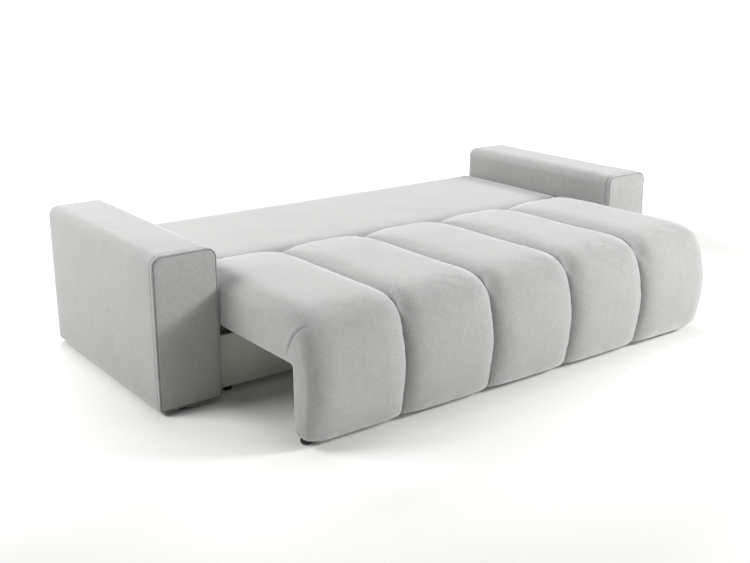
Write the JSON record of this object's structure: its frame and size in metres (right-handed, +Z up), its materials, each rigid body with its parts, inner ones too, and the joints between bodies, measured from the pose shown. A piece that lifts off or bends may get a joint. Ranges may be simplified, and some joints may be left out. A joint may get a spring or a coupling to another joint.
{
  "type": "sofa bed",
  "caption": "Sofa bed with slab arms: a channelled seat pulls out on rollers while the backrest slides down guide plates and lies flat over a linen box.",
  "frame": {"origin": "on the floor, at the centre of the footprint of the made-up bed: midway between the arms' outer sides, and midway between the front of the pulled-out seat and the rear of the arms", "axes": "+X along the sofa's width, towards the right arm as seen from the front; +Y from the seat's front towards the rear; +Z up"},
  "size_m": [2.5, 1.55, 0.578],
  "materials": {
    "velvet": "light grey short-pile velvet",
    "box_cloth": "plain grey lining cloth over board",
    "timber": "planed softwood, unfinished",
    "board": "particle board and plywood, unfinished",
    "mechanism_steel": "grey powder-coated sheet steel",
    "zinc_steel": "bright zinc-plated steel",
    "black_plastic": "moulded black plastic",
    "roller_plastic": "white nylon"
  },
  "bodies": {
    "carcass": {"left_arm_cover": "velvet", "right_arm_cover": "velvet", "left_arm_frame": "board", "right_arm_frame": "board", "left_arm_base": "board", "right_arm_base": "board", "left_arm_front_foot": "black_plastic", "left_arm_rear_foot": "black_plastic", "right_arm_front_foot": "black_plastic", "right_arm_rear_foot": "black_plastic", "left_guide_plate": "mechanism_steel", "right_guide_plate": "mechanism_steel", "left_rest_lug": "zinc_steel", "right_rest_lug": "zinc_steel", "box_front_panel": "box_cloth", "box_rear_panel": "box_cloth", "box_floor": "board", "box_divider": "timber", "box_left_side": "timber", "box_right_side": "timber", "box_left_foot": "black_plastic", "box_right_foot": "black_plastic", "left_front_box_bolt": "zinc_steel", "left_rear_box_bolt": "zinc_steel", "right_front_box_bolt": "zinc_steel", "right_rear_box_bolt": "zinc_steel", "left_rail": "zinc_steel", "right_rail": "zinc_steel"},
    "seat": {"seat_pad": "velvet", "seat_front_board": "board", "seat_front_rail": "timber", "seat_rear_rail": "timber", "seat_left_rail": "timber", "seat_right_rail": "timber", "seat_slat_1": "timber", "seat_slat_2": "timber", "seat_slat_3": "timber", "seat_slat_4": "timber", "seat_slat_5": "timber", "seat_left_glide": "black_plastic", "seat_right_glide": "black_plastic", "left_roller_arm": "mechanism_steel", "right_roller_arm": "mechanism_steel", "left_drive_fork": "mechanism_steel", "right_drive_fork": "mechanism_steel"},
    "left_wheel": {"left_roller": "roller_plastic"},
    "right_wheel": {"right_roller": "roller_plastic"},
    "back_carriage": {"left_pivot_pin": "zinc_steel", "right_pivot_pin": "zinc_steel"},
    "backrest": {"back_pad": "velvet", "back_rear_board": "box_cloth", "back_lower_rail": "timber", "back_upper_rail": "timber", "back_left_rail": "timber", "back_right_rail": "timber", "left_back_bracket": "mechanism_steel", "right_back_bracket": "mechanism_steel", "left_rest_stud": "zinc_steel", "right_rest_stud": "zinc_steel"}
  },
  "joints": [
    {"name": "seat_slide", "type": "slide", "parent": "carcass", "child": "seat", "axis": [0, 1, 0], "range_m": [0, 0.512]},
    {"name": "left_roller_turn", "type": "hinge", "parent": "seat", "child": "left_wheel", "pos_m": [-0.993, 0.055, 0.2003], "axis": [1, 0, 0], "range_deg": [-1470, 0]},
    {"name": "right_roller_turn", "type": "hinge", "parent": "seat", "child": "right_wheel", "pos_m": [0.993, 0.055, 0.2003], "axis": [1, 0, 0], "range_deg": [-1470, 0]},
    {"name": "back_travel", "type": "slide", "parent": "carcass", "child": "back_carriage", "axis": [0, 0.9496, -0.3134], "range_m": [0, 0.5392]},
    {"name": "back_fold", "type": "hinge", "parent": "back_carriage", "child": "backrest", "pos_m": [0, 0.127, 0.406], "axis": [1, 0, 0], "range_deg": [0, 90]}
  ],
  "couplings": [
    {"joint": "left_roller_turn", "follows": "seat_slide", "rad_per_m": -50},
    {"joint": "right_roller_turn", "follows": "seat_slide", "rad_per_m": -50},
    {"joint": "back_travel", "follows": "seat_slide", "ratio": 1.0531},
    {"joint": "back_fold", "follows": "seat_slide", "rad_per_m": 3.068}
  ]
}
